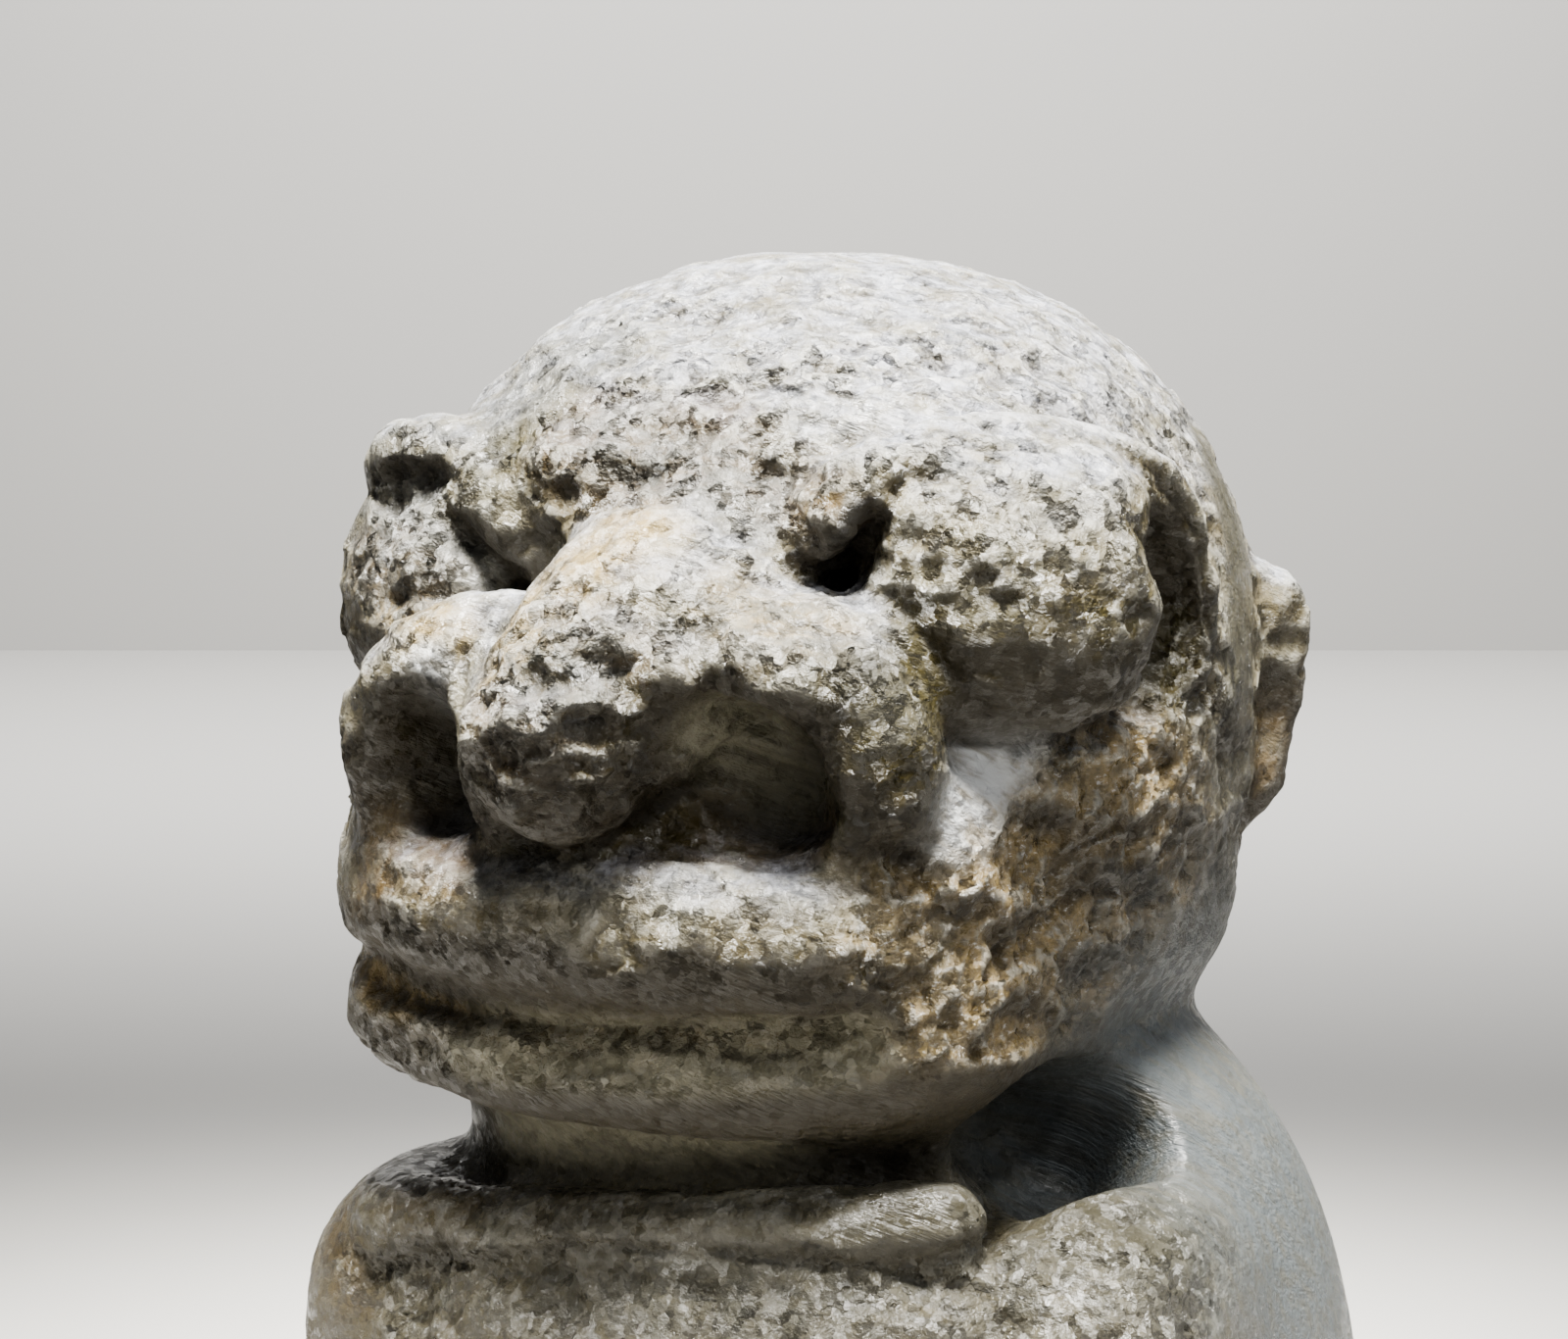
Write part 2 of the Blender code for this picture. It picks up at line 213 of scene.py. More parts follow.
            "ear": {"pixels": [(1305, 740), (1300, 800)], "radius": 6},
            "far forearm": {"pixels": [(430, 1210), (560, 1190), (640, 1210)], "radius": 6},
            "far wrist": {"pixels": [(340, 1260), (350, 1330)], "radius": 6},
        },
        "ochre": {
            "near cheek": {"pixels": [(990, 890), (1090, 900), (1010, 1040)], "radius": 12},
            "cheek's edge": {"pixels": [(1160, 780), (1200, 900), (1130, 1010)], "radius": 9},
            "mouth": {"pixels": [(380, 990), (560, 1030), (850, 1030)], "radius": 5},
            "below the lip's near end": {"pixels": [(900, 1000), (930, 1060)], "radius": 6},
            "lip's far end": {"pixels": [(365, 960)], "radius": 4},
        },
        # Olive patina, and painted shade under the near eye, beside it and at the near nostril's side.
        "olive and painted shade": {
            "under the near eye": {"pixels": [(960, 690), (1060, 720)], "radius": 7},
            "beside the near eye": {"pixels": [(1190, 560), (1205, 690)], "radius": 5},
            "far brow": {"pixels": [(560, 410), (500, 470)], "radius": 4},
            "fold beside the nose": {"pixels": [(900, 830), (950, 850)], "radius": 5},
            "upper arm": {"pixels": [(1170, 1230)], "radius": 8},
            "near nostril's side": {"pixels": [(860, 760), (900, 790), (935, 765)], "radius": 8},
            "near eye's underside": {"pixels": [(960, 640), (1060, 670), (1150, 640)], "radius": 6},
            "behind the eye": {"pixels": [(1250, 480), (1262, 600), (1255, 700)], "radius": 3},
        },
        # Bronze patina, and painted shade under the lips, along the jaw and at the near nostril's side.
        "bronze and painted shade": {
            "behind the eye": {"pixels": [(1245, 440), (1262, 560), (1262, 720)], "radius": 5},
            "jaw": {"pixels": [(560, 1130), (760, 1145), (960, 1125), (1100, 1085), (1190, 1030)],
                    "radius": 6},
            "upper arm": {"pixels": [(1110, 1240), (1200, 1260)], "radius": 7},
            "hand": {"pixels": [(900, 1235), (975, 1235)], "radius": 6},
            "under the lower lip": {"pixels": [(480, 1105), (700, 1120), (900, 1110)], "radius": 6},
            "under the upper lip": {"pixels": [(480, 1000), (700, 1015), (880, 1010)], "radius": 5},
            "near nostril's side": {"pixels": [(862, 750), (890, 785), (938, 775)], "radius": 8},
        },
        # Painted shade where the stone lies in shadow: under and beside the eye, in and below the nose, under
        # the lip and the jaw.
        "painted shade": {
            "under the near eye": {"pixels": [(950, 672), (1010, 705), (1080, 722), (1150, 700)],
                                   "radius": 6},
            "beside the near eye": {"pixels": [(1178, 555), (1192, 620), (1200, 700)], "radius": 5},
            "near nostril's wall": {"pixels": [(795, 720), (838, 745), (857, 790), (860, 835)],
                                    "radius": 5.5},
            "below the near nostril": {"pixels": [(860, 800), (900, 812), (940, 790)], "radius": 5},
            "lobe's near side": {"pixels": [(665, 715), (640, 770), (590, 825)], "radius": 4},
            "inside the far nostril": {"pixels": [(395, 720), (425, 780)], "radius": 5},
            "below the nose": {"pixels": [(520, 852), (700, 850), (860, 842)], "radius": 3.5},
            "below the upper lip": {"pixels": [(420, 992), (560, 1022), (700, 1028), (860, 1030)],
                                    "radius": 5},
            "below the jaw": {"pixels": [(520, 1130), (760, 1155), (980, 1135), (1090, 1095)], "radius": 5},
        },
        "grey": {
            "far brow": {"pixels": [(530, 400), (600, 360)], "radius": 8},
            "brow": {"pixels": [(620, 450), (760, 500)], "radius": 6},
            "far eye": {"pixels": [(410, 480), (390, 560), (440, 590)], "radius": 9},
            "strip behind the eye": {"pixels": [(1240, 480), (1262, 560), (1266, 640), (1262, 720)],
                                     "radius": 5},
            "near nostril": {"pixels": [(740, 625), (840, 655), (910, 720)], "radius": 6},
            "nose lobe": {"pixels": [(540, 680), (600, 700)], "radius": 8},
            "hand": {"pixels": [(900, 1235), (975, 1235)], "radius": 6},
            "near arm": {"pixels": [(1080, 1290), (1200, 1300)], "radius": 10},
            "lower forearm": {"pixels": [(600, 1320), (950, 1340)], "radius": 8},
        },
        # Pale spots, and painted light on the spot by the nose, which lies in the eye's shade, and on the lit
        # band of the far nostril.
        "pale": {
            "spot by the nose": {"pixels": [(970, 835), (1005, 790), (1035, 755)], "radius": 5},
            "far nostril": {"pixels": [(440, 680), (455, 720)], "radius": 2.5},
        },
        # Painted fill light: it lifts the shaded neck, lower lip and inside of the near nostril.
        "painted fill": {
            "inside the near nostril": {"pixels": [(720, 735), (780, 765), (800, 800)], "radius": 5},
            "neck": {"pixels": [(540, 1172), (760, 1180), (1000, 1170)], "radius": 6},
            "lower lip": {"pixels": [(480, 1066), (700, 1078), (880, 1066)], "radius": 4},
        },
        "slate and painted fill": {
            "shoulder": {"pixels": [(1210, 1080), (1290, 1180), (1330, 1300)], "radius": 24},
            # Painted fill light that lifts the dark armpit hollow.
            "armpit": {"pixels": [(1050, 1170), (1120, 1150)], "radius": 13},
        },
    },
    # The patterns in its colour and skin, each as large as its spots are on the stone. The grain is drawn
    # coarser than the stone's own, so that it shows.
    "patterns": {
        "clouding": {"along": "even", "size": 14, "detail": 4, "roughness": 0.6},
        "mottling": {"along": "even", "size": 3.5, "detail": 5, "roughness": 0.6},
        "blotches": {"along": "even", "size": 4, "detail": 5, "roughness": 0.6},
        "dusting": {"along": "level", "size": 3.2, "detail": 6, "roughness": 0.7},
        "grain": {"along": "level", "size": 0.7, "detail": 5, "roughness": 0.68},
        "brushing": {"along": "strokes", "size": 1.1, "detail": 5, "roughness": 0.7},
        "streaks": {"along": "strokes", "size": 1.5, "detail": 5, "roughness": 0.65},
        "scratches": {"along": "strokes", "size": 0.45, "detail": 3, "roughness": 0.6},
    },
    # Flakes too small for the mesh, each with its own tilt, shade and polish.
    "glitter": {
        "large": {"size": 2.3, "slope": 0.75},
        "small": {"size": 1, "slope": 0.7},
    },
    "ground": "#524a34",
    # Colours laid on the ground, one over the other. What holds each to its place is a measure of the
    # surface or a pattern, with the values it comes in between and its least and most share, or a tint.
    "colours": [
        ("#625d4c", {"clouding": (0.35, 0.65, 0, 1)}),
        ("#4b4e4a", {"mottling": (0.5, 0.75, 0, 0.55)}),
        # Pale dust and light scratches lie on what faces up. The pale layer, high on the head, is also
        # painted light from above.
        ("#86888f", {"upward": (0.15, 0.85, 0, 1), "dusting": (0.36, 0.62, 0.12, 0.95),
                     "height": (44, 62, 0, 1)}),
        ("#3b3c3c", {"brushing": (0.46, 0.6, 0, 0.65), "upward": (0, 0.6, 0, 1)}),
        ("#85703f", {"buff": None, "blotches": (0.3, 0.6, 0.245, 0.7)}),
        ("#4b3717", {"brown": None, "blotches": (0.3, 0.6, 0.2275, 0.65)}),
        ("#8a7448", {"ochre": None, "blotches": (0.3, 0.6, 0.28, 0.8)}),
        # Olive patina, partly painted shade.
        ("#373110", {"olive and painted shade": None, "blotches": (0.3, 0.6, 0.2625, 0.75)}),
        # Painted shade: what faces down is darkened.
        ("#231b06", {"upward": (0.1, -0.45, 0, 0.7)}),
        # Dirt lies in the hollows, large and small, and the darkening there, deepest where the stone closes
        # in, is also painted shade. Rubbed edges stand out pale, partly as painted highlight.
        ("#2f2717", {"broad": (-0.1, -0.9, 0, 0.32)}),
        ("#1f1a10", {"open": (0.4, 0.1, 0, 0.4)}),
        ("#2b2720", {"fine": (-0.02, -0.16, 0, 0.42)}),
        ("#8f8d83", {"fine": (0.02, 0.15, 0, 0.6), "crumbly": (0.2, 1.8, 0.6, 1)}),
        # Dark specks in the grain's dips, where the bump sinks too: dirt and painted shade.
        ("#2a2417", {"grain": (0.5, 0.34, 0, 1), "crumbly": (0.1, 1.5, 0.1, 0.5)}),
        # Painted glints: near-white flecks on the grain's peaks and on some flakes.
        ("#cbcac6", {"grain": (0.56, 0.69, 0, 1), "crumbly": (0.3, 1.9, 0.15, 0.85),
                     "large glitter": (0.3, 0.7, 0.4, 1)}),
        ("#4a4a46", {"grey": None, "streaks": (0.36, 0.6, 0.28, 0.8)}),
        # Bronze patina, partly painted shade.
        ("#2a2615", {"bronze and painted shade": None, "streaks": (0.36, 0.6, 0.315, 0.9)}),
        # Pale spots, partly painted light.
        ("#b4b6b6", {"pale": None, "streaks": (0.36, 0.6, 0.2975, 0.85)}),
        # Painted shade.
        ("#262003", {"painted shade": None, "streaks": (0.36, 0.6, 0.315, 0.9)}),
        # What faces down is darkened as painted shade, and the figure is darker towards the bottom, below the
        # head, as painted shadow of the head.
        ("#211a09", {"upward": (0.1, -0.4, 0, 0.8)}),
        ("#302d22", {"height": (46, 36, 0, 0.6)}),
        # Painted fill light in shaded places.
        ("#7d7863", {"painted fill": None, "streaks": (0.36, 0.6, 0.45, 0.9)}),
        # Slate tone on the shoulder. In the armpit it is painted fill light.
        ("#474c4e", {"slate and painted fill": None, "streaks": (0.36, 0.6, 0.45, 0.9)}),
    ],
}


def report(words):
    print("scene:", words, flush=True)


def only(piece):
    bpy.ops.object.select_all(action="DESELECT")
    piece.select_set(True)
    bpy.context.view_layer.objects.active = piece


def apply(piece, kind, **settings):
    only(piece)
    modifier = piece.modifiers.new(kind.lower(), kind)
    for name, value in settings.items():
        setattr(modifier, name, value)
    bpy.ops.object.modifier_apply(modifier=modifier.name)


def roundedCopy(node):
    piece = bpy.data.objects.new(stone["name"], node.data.copy())
    bpy.context.scene.collection.objects.link(piece)
    only(piece)
    # The frame's triangles are loose, so they are merged before anything rounds them.
    bpy.ops.object.mode_set(mode="EDIT")
    bpy.ops.mesh.select_all(action="SELECT")
    bpy.ops.mesh.remove_doubles(threshold=0.01 * mm)
    bpy.ops.object.mode_set(mode="OBJECT")
    mesh = piece.data
    # The flat underside keeps its edge, so its edges are creased.
    crease = mesh.attributes.new("crease_edge", "FLOAT", "EDGE")
    low = np.array([vert.co.z < 0.01 * mm for vert in mesh.vertices])
    ends = np.array([edge.vertices[:] for edge in mesh.edges])
    crease.data.foreach_set("value", low[ends].all(1).astype(np.float32))
    apply(piece, "SUBSURF", levels=2)
    apply(piece, "REMESH", mode="VOXEL", voxel_size=stone["voxel"] * mm)
    return piece


class Skin:
    # A piece's points as arrays, in millimetres, and the edges that join them.
    def __init__(self, piece):
        self.mesh = piece.data
        self.size = len(self.mesh.vertices)
        flat = np.empty(self.size * 3, np.float32)
        self.mesh.vertices.foreach_get("co", flat)
        self.points = flat.reshape(-1, 3).astype(float) / mm
        ends = np.empty(len(self.mesh.edges) * 2, np.int32)
        self.mesh.edges.foreach_get("vertices", ends)
        self.ends = ends.reshape(-1, 2)
        self.partners = np.bincount(self.ends.ravel(), minlength=self.size)[:, None]

    def around(self, values):
        # The mean of each point's neighbours.
        a, b = self.ends.T
        both, others = np.concatenate([a, b]), np.concatenate([b, a])
        sums = [np.bincount(both, column[others], self.size) for column in values.T]
        return np.stack(sums, 1) / self.partners

    def blurred(self, values, rounds):
        flat = values.ndim == 1
        values = values[:, None] if flat else values
        for _ in range(rounds):
            values = 0.5 * values + 0.5 * self.around(values)
        return values[:, 0] if flat else values

    def store(self):
        self.mesh.vertices.foreach_set("co", (self.points * mm).astype(np.float32).ravel())
        self.mesh.update()

    def normals(self):
        self.store()
        flat = np.empty(self.size * 3, np.float32)
        self.mesh.vertex_normals.foreach_get("vector", flat)
        return flat.reshape(-1, 3).astype(float)

    def keep(self, name, values):
        attribute = self.mesh.attributes.new(name, "FLOAT", "POINT")
        attribute.data.foreach_set("value", values.astype(np.float32))


def waves(points, size, seed, octaves=1):
    # Smooth noise, about -1 to 1, in waves of that size, and for each octave more in waves half as large.
    chance = np.random.default_rng(seed)
    total, height = np.zeros(len(points)), 1
    for _ in range(octaves):
        table = chance.permutation(256)
        slopes = chance.normal(size=(256, 3))
        slopes /= np.linalg.norm(slopes, axis=1)[:, None]
        at = points / size + chance.uniform(0, 100, 3)
        cell = np.floor(at).astype(int)
        inside = at - cell
        ease = inside**3 * (inside * (inside * 6 - 15) + 10)
        for corner in itertools.product((0, 1), repeat=3):
            x, y, z = ((cell + corner) & 255).T
            slope = slopes[table[(table[(table[x] + y) & 255] + z) & 255]]
            share = np.where(corner, ease, 1 - ease).prod(1)
            total += 1.5 * height * share * ((inside - corner) * slope).sum(1)
        size, height = size / 2, height / 2
    return total


def cells(points, size, seed, tilt, heights):
    # Loose cells of that size: for each near a point, the way to its middle, its own tilt and its height.
    chance = np.random.default_rng(seed)
    table = chance.permutation(256)
    middles = chance.uniform(0.05, 0.95, (256, 3))
    tilts = chance.normal(scale=tilt, size=(256, 3))
    heights = chance.uniform(*heights, 256)
    at = points / size + chance.uniform(0, 100, 3)
    cell = np.floor(at).astype(int)
    for corner in itertools.product((-1, 0, 1), repeat=3):
        x, y, z = ((cell + corner) & 255).T
        pick = table[(table[(table[x] + y) & 255] + z) & 255]
        yield at - cell - corner - middles[pick], tilts[pick], heights[pick]


def scars(points, size, cover, seed):
    # How deep struck scars go: shallow bowls side by side, with a sharp ridge where two meet. Where cover is
    # small, they stand apart on a smooth face.
    lowest = np.full(len(points), np.inf)
    for away, tilts, heights in cells(points, size, seed, tilt=0.4, heights=(0, 0.5)):
        lowest = np.minimum(lowest, (away * (away + tilts)).sum(1) + heights)
    return size * np.clip(0.12 + 0.45 * cover - lowest, 0, None)


def ledges(points, size, seed):
    # How far flakes stand out: each is a plane of its own, so a small step stands where one ends.
    nearest = np.full(len(points), np.inf)
    found = np.zeros(len(points))
    for away, tilts, heights in cells(points, size, seed, tilt=0.5, heights=(-0.35, 0.35)):
        distance = (away * away).sum(1)
        closer = distance < nearest
        nearest[closer] = distance[closer]
        found[closer] = (away * tilts).sum(1)[closer] + heights[closer]
    return size * found


def step(values, low, high):
    share = np.clip((values - low) / (high - low), 0, 1)
    return share * share * (3 - 2 * share)


def lineDistance(points, line):
    nearest = np.full(len(points), np.inf)
    if len(line) == 1:
        return np.linalg.norm(points - line[0], axis=1)
    for start, end in zip(line, line[1:]):
        way = end - start
        along = np.clip((points - start) @ way / (way @ way), 0, 1)
        away = points - start - along[:, None] * way
        nearest = np.minimum(nearest, np.linalg.norm(away, axis=1))
    return nearest


def seenAt(tree, pixel):
    # The point of the surface that the photograph shows at a pixel, or nearer the head's centre where the
    # pixel just misses the stone.
    for inwards in (0, 0.02, 0.04, 0.07, 0.1):
        across, down = (at + inwards * (centre - at) for at, centre in zip(pixel, headPixel))
        way = (right * (across - photoWide / 2) + up * (photoTall / 2 - down)) / focalPixels - towards
        place = tree.ray_cast(eye * mm, way.normalized())[0]
        if place is not None:
            return np.array(place) / mm
    raise ValueError(f"nothing of the stone is seen at {pixel}")


def seenLine(tree, pixels):
    return np.array([seenAt(tree, pixel) for pixel in pixels])


def paintZones(tree, points, values, zones):
    # Brings values to each zone's own along its line, and fades out beside it.
    for zone in zones.values():
        away = lineDistance(points, seenLine(tree, zone["pixels"]))
        share = 1 - step(away, 0.6 * zone["radius"], 1.25 * zone["radius"])
        values = values + share * (zone["value"] - values)
    return values


def onSeenSide(points):
    # 1 on the side that the photograph shows and 0 behind, where the stone is plainer.
    return step(points @ np.array(towards), -25, 5)


def carve(tree, points, normals, creases):
    for crease in creases.values():
        away = lineDistance(points, seenLine(tree, crease["pixels"]))
        share = np.clip(1 - away / crease["radius"], 0, 1) ** 1.5
        points = points - normals * (share * crease["depth"])[:, None]
    return points


def scarred(tree, skin, points, normals):
    # The skin's points once it's struck and broken. The noise is read at points, where it was before carving.
    # The body is smoother than the head, and the hidden side smoother than the one in the photograph.
    rough = (0.3 + 0.5 * step(points[:, 2], 38, 48)) * (0.6 + 0.4 * onSeenSide(points))
    rough = paintZones(tree, points, rough, stone["rough"])
    rough = np.clip(rough * (1 + 0.35 * waves(points, 14, seed=3)), 0, 2.2)
    bent = points + 0.5 * np.stack([waves(points, 3, seed) for seed in (31, 32, 33)], 1)
    # On the cheek the chips run slanting down across it.
    slant = bent @ np.array([right, towards, up]).T
    slant = np.stack([slant[:, 0] - slant[:, 2], slant[:, 1], 0.6 * (slant[:, 0] + slant[:, 2])], 1)
    courses = {"bent": bent, "level": bent * (0.75, 0.75, 1.3), "slant": slant}
    cheek = {"cheek": dict(stone["rough"]["near cheek"], value=1)}
    onCheek = paintZones(tree, points, np.zeros(len(points)), cheek)
    where = {
        "worked": np.clip(rough, 0, 1.2),
        "rough": np.clip(rough, 0, 1.4),
        "cheek": onCheek,
        "off the cheek": np.clip(rough, 0, 1.4) * (1 - onCheek),
        "crumbling": np.clip(rough - 0.55, 0, 1.1),
    }
    relief = stone["swell"] * where["worked"]
    for wave in stone["waves"].values():
        heights = wave["height"] * waves(points, wave["size"], wave["seed"], wave["octaves"])
        relief += heights * np.clip(rough, wave["least"], wave["most"])
    for scar in stone["scars"].values():
        cover = np.clip(scar["share"] * rough - scar["from"], 0, scar["most"])
        depths = scars(courses[scar["along"]], scar["size"], cover, scar["seed"])
        relief -= scar["depth"] * depths * where[scar["where"]]
    for flake in stone["flakes"].values():
        heights = ledges(courses[flake["along"]], flake["size"], flake["seed"])
        relief += flake["height"] * heights * where[flake["where"]]
    return skin.points + normals * relief[:, None]


def openness(piece, skin, normals, rays=9, reach=22):
    # The share of rays from each point that leave the stone: low in creases and hollows.
    tree = BVHTree.FromObject(piece, bpy.context.evaluated_depsgraph_get())
    chance = np.random.default_rng(21)
    spread = chance.normal(size=(rays, 3))
    spread /= np.linalg.norm(spread, axis=1)[:, None]
    found = np.zeros(skin.size)
    for index, (place, normal) in enumerate(zip((skin.points + 0.3 * normals) * mm, normals)):
        ways = normal + 0.98 * spread
        found[index] = sum(tree.ray_cast(place, way, reach * mm)[0] is None for way in ways) / rays
    return skin.blurred(found, 4)


def measure(tree, piece, skin):
    # What the surface looks like follows its relief, what it's open to and where it has been handled.
    normals = skin.normals()
    softNormals = skin.blurred(normals, 12)
    crumbly = paintZones(tree, skin.points, 0.2 + 0.3 * onSeenSide(skin.points), stone["rough"])
    measures = {
        "fine": ((skin.points - skin.blurred(skin.points, 5)) * softNormals).sum(1),
        "broad": ((skin.points - skin.blurred(skin.points, 40)) * softNormals).sum(1),
        "upward": softNormals[:, 2],
        "height": skin.points[:, 2],
        "open": openness(piece, skin, normals),
        "crumbly": np.clip(crumbly, 0, 2),
    }
    for tint, zones in stone["tints"].items():
        measures[tint] = np.zeros(skin.size)
        for zone in zones.values():
            away = lineDistance(skin.points, seenLine(tree, zone["pixels"]))
            share = 1 - step(away, 0.3 * zone["radius"], 1.4 * zone["radius"])
            measures[tint] = np.maximum(measures[tint], share)
    for name, values in measures.items():
        skin.keep(name, values)
    return list(measures)


def linear(hexColour):
    channels = [int(hexColour[at:at + 2], 16) / 255 for at in (1, 3, 5)]
    return tuple(c / 12.92 if c <= 0.04045 else ((c + 0.055) / 1.055) ** 2.4 for c in channels) + (1,)


def add(tree, kind, inputs, output=0, **settings):
    # Adds a node with its settings, and gives each input its value or links it.
    node = tree.nodes.new("ShaderNode" + kind)
    for name, value in settings.items():
        setattr(node, name, value)
    for name, value in inputs.items():
        if isinstance(value, bpy.types.NodeSocket):
            tree.links.new(value, node.inputs[name])
        else:
            node.inputs[name].default_value = value
    return node.outputs[output] if node.outputs else None


def emptyMaterial(name):
    material = bpy.data.materials.new(name)
    material.use_nodes = True
    material.node_tree.nodes.clear()
    return material


def shareOf(tree, masks, spans):
    # How much of something shows: its masks multiplied, each brought between the span's last two values.
    share = None
    for name, span in spans.items():
        part = masks[name]
        if span:
            low, high, least, most = span
            part = add(tree, "MapRange", {"Value": part, "From Min": low, "From Max": high, "To Min": least,
                                          "To Max": most}, interpolation_type="SMOOTHSTEP")
        share = add(tree, "Math", {0: share, 1: part}, operation="MULTIPLY") if share else part
    return share


def weatheredAndPaintedSoapstone(measures):
    # Soapstone, carved, then struck, buried and handled: a soft stone that breaks in small flakes, dull and
    # dusty where it's pitted and waxy where it's rubbed, so that flakes glint one by one like dark silver.
    # Its colour also carries painted light: painted shade in hollows, underneath and low down, painted light
    # on tops and in some shaded places, and painted glints.
    material = emptyMaterial("weathered soapstone")
    tree = material.node_tree
    place = add(tree, "TexCoord", {}, output="Object")
    courses = {
        "even": place,
        # The stone's own layers lie level, so what follows them is longer across than up.
        "level": add(tree, "Mapping", {"Vector": place, "Scale": (0.6, 0.6, 1.3)}),
        # The carver's strokes run across the face, down to the right.
        "strokes": add(tree, "Mapping", {"Vector": place, "Rotation": (0, math.radians(111), azimuth),
                                         "Scale": (1, 1, 12)}, vector_type="TEXTURE"),
    }
    masks = {name: add(tree, "Attribute", {}, output="Fac", attribute_name=name) for name in measures}
    for name, pattern in stone["patterns"].items():
        masks[name] = add(tree, "TexNoise", {"Vector": courses[pattern["along"]],
                                             "Scale": 1 / (pattern["size"] * mm), "Detail": pattern["detail"],
                                             "Roughness": pattern["roughness"]})

    # Each flake of the glitter leans its own way from its middle, and its edges are ragged.
    ragged = add(tree, "TexNoise", {"Vector": place, "Scale": 1 / (1.2 * mm), "Detail": 4, "Roughness": 0.6},
                 output="Color")
    ragged = add(tree, "VectorMath", {0: ragged, 1: (1.1 * mm,) * 3}, operation="MULTIPLY")
    ragged = add(tree, "VectorMath", {0: place, 1: ragged}, operation="ADD")
    height = add(tree, "Math", {0: masks["grain"], 1: 0.22 * mm}, operation="MULTIPLY")
    for name, flake in stone["glitter"].items():
        shade = add(tree, "TexVoronoi", {"Vector": ragged, "Scale": 1 / (flake["size"] * mm)}, output="Color")
        masks[name + " glitter"] = shade
        away = add(tree, "VectorMath", {0: ragged, 1: shade.node.outputs["Position"]}, operation="SUBTRACT")
        tilt = add(tree, "VectorMath", {0: shade, 1: (0.5, 0.5, 0.5)}, operation="SUBTRACT")
        lean = add(tree, "VectorMath", {0: tilt, 1: away}, output="Value", operation="DOT_PRODUCT")
        height = add(tree, "Math", {0: lean, 1: 2 * flake["slope"], 2: height}, operation="MULTIPLY_ADD")

    colour = linear(stone["ground"])
    for shade, spans in stone["colours"]:
        share = shareOf(tree, masks, spans)
        colour = add(tree, "Mix", {0: share, 6: colour, 7: linear(shade)}, output=2, data_type="RGBA")

    polish = shareOf(tree, masks, {"small glitter": (0.25, 0.75, 0.2, 0.46)})
    dull = shareOf(tree, masks, {"upward": (0.1, -0.5, 0, 0.25)})
    # Rubbed places carry fine scratches instead of flakes.
    flaky = shareOf(tree, masks, {"crumbly": (0.05, 1.2, 0.06, 1)})
    scratched = shareOf(tree, masks, {"scratches": (0.35, 0.65, 0, 1),
                                      "crumbly": (1, 0.2, 0.01 * mm, 0.09 * mm)})
    height = add(tree, "Math", {0: height, 1: flaky, 2: scratched}, operation="MULTIPLY_ADD")
    shader = add(tree, "BsdfPrincipled", {
        "Base Color": colour,
        "Roughness": add(tree, "Math", {0: polish, 1: dull}, operation="ADD"),
        "Specular IOR Level": 0.36,
        "Normal": add(tree, "Bump", {"Height": height, "Strength": 1, "Distance": 1}),
    })
    add(tree, "OutputMaterial", {"Surface": shader})
    return material


piece = roundedCopy(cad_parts["figure"])
skin = Skin(piece)
report(f"the stone's copy has {skin.size} points")
tree = BVHTree.FromObject(piece, bpy.context.evaluated_depsgraph_get())
points = skin.points
skin.points = carve(tree, points, skin.normals(), stone["creases"])
report("creases carved")
normals = skin.blurred(skin.normals(), 6)
normals /= np.linalg.norm(normals, axis=1)[:, None]
skin.points = scarred(tree, skin, points, normals)
report("surface scarred")

# The stone stays inside the solid's own box and stands on its flat underside.
low, high = (np.array(corner) / mm for corner in cadBox)
under = points[:, 2] < 0.6
skin.points[:, :2] = np.where(under[:, None], points[:, :2], skin.points[:, :2])
skin.points[points[:, 2] < 0.3, 2] = 0
skin.points = np.clip(skin.points, low, high)
skin.store()
report(f"{len(piece.data.polygons)} faces before thinning")
thinned = stone["triangles"] / (2 * len(piece.data.polygons))
apply(piece, "DECIMATE", ratio=thinned, use_collapse_triangulate=True)
skin = Skin(piece)
report(f"{len(piece.data.polygons)} triangles")

measures = measure(tree, piece, skin)
for polygon in piece.data.polygons:
    polygon.use_smooth = True
report("surface measured")

piece.data.materials.clear()
piece.data.materials.append(weatheredAndPaintedSoapstone(measures))
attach(piece, "root")
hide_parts("figure")
report("stone dressed")


def palePaper():
    # Paper, plain and uncoated: matt and even, so that nothing draws the eye from the stone.
    material = emptyMaterial("pale paper")
    tree = material.node_tree
    shader = add(tree, "BsdfPrincipled", {"Base Color": linear("#94928e"), "Roughness": 0.9})
    add(tree, "OutputMaterial", {"Surface": shader})
    return material


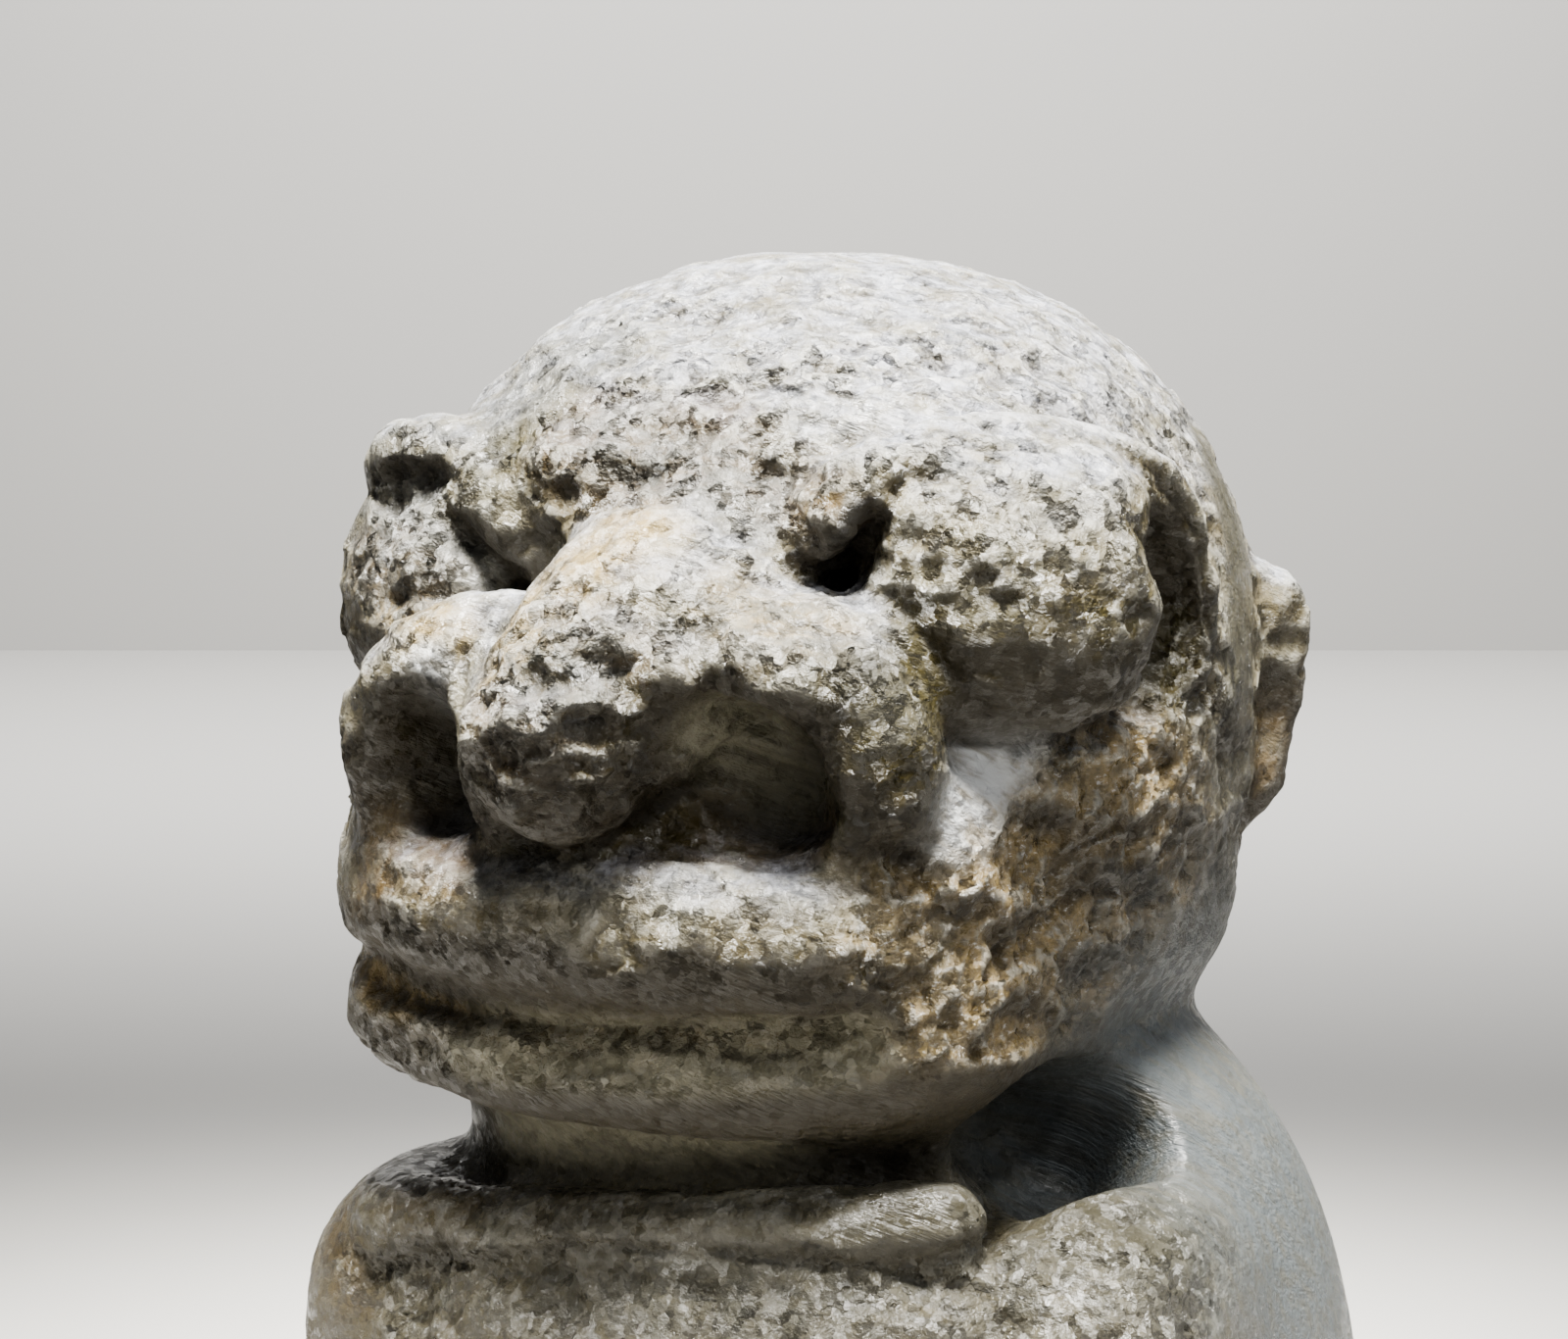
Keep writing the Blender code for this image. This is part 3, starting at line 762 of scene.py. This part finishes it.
paper = palePaper()
bpy.ops.mesh.primitive_plane_add(size=3)
floor = bpy.context.object
floor.name = "floor"
bpy.ops.mesh.primitive_plane_add(size=3, location=-towards * 1.05, rotation=(math.pi / 2, 0, azimuth))
wall = bpy.context.object
wall.name = "backdrop"
for plane in (floor, wall):
    plane.data.materials.append(paper)

# Soft lights, each square with its size, and spread the angle in degrees that it shines in.
lights = {
    "key": {"place": headCentre + up * 420 + towards * 130 + right * 5, "target": headCentre, "size": 190,
            "watts": 2.45, "colour": "#fffdf8", "spread": 32},
    "wash behind": {"place": headCentre - towards * 620 + up * 480, "target": -towards * 1050, "size": 300,
                    "watts": 18, "colour": "#ffffff", "spread": 180},
    "spark": {"place": headCentre + towards * 420 + up * 330 + right * 160, "target": headCentre, "size": 50,
              "watts": 0.12, "colour": "#ffffff", "spread": 50},
    "fill": {"place": headCentre + towards * 500 + right * 350 + up * 100, "target": headCentre, "size": 500,
             "watts": 0.4, "colour": "#f4f7ff", "spread": 180},
    "rim": {"place": headCentre - towards * 150 + right * 450 + up * 250, "target": headCentre, "size": 200,
            "watts": 0.35, "colour": "#e6efff", "spread": 180},
}
for name, light in lights.items():
    bpy.ops.object.light_add(type="AREA", location=light["place"] * mm)
    lamp = bpy.context.object
    lamp.name = name
    lamp.data.size = light["size"] * mm
    lamp.data.energy = light["watts"]
    lamp.data.spread = math.radians(light["spread"])
    lamp.data.color = linear(light["colour"])[:3]
    lamp.rotation_mode = "QUATERNION"
    lamp.rotation_quaternion = (light["target"] - light["place"]).to_track_quat("-Z", "Y")
world = bpy.data.worlds.new("studio")
bpy.context.scene.world = world
world.use_nodes = True
world.node_tree.nodes["Background"].inputs["Color"].default_value = linear("#ffffff")
world.node_tree.nodes["Background"].inputs["Strength"].default_value = 0.15
report("stage lit")

bpy.ops.object.camera_add(location=eye * mm)
camera = bpy.context.object
camera.rotation_mode = "QUATERNION"
camera.rotation_quaternion = (-towards).to_track_quat("-Z", "Y")
camera.data.sensor_width = sensorWidth
camera.data.lens = sensorWidth * focalPixels / photoWide
bpy.context.scene.camera = camera
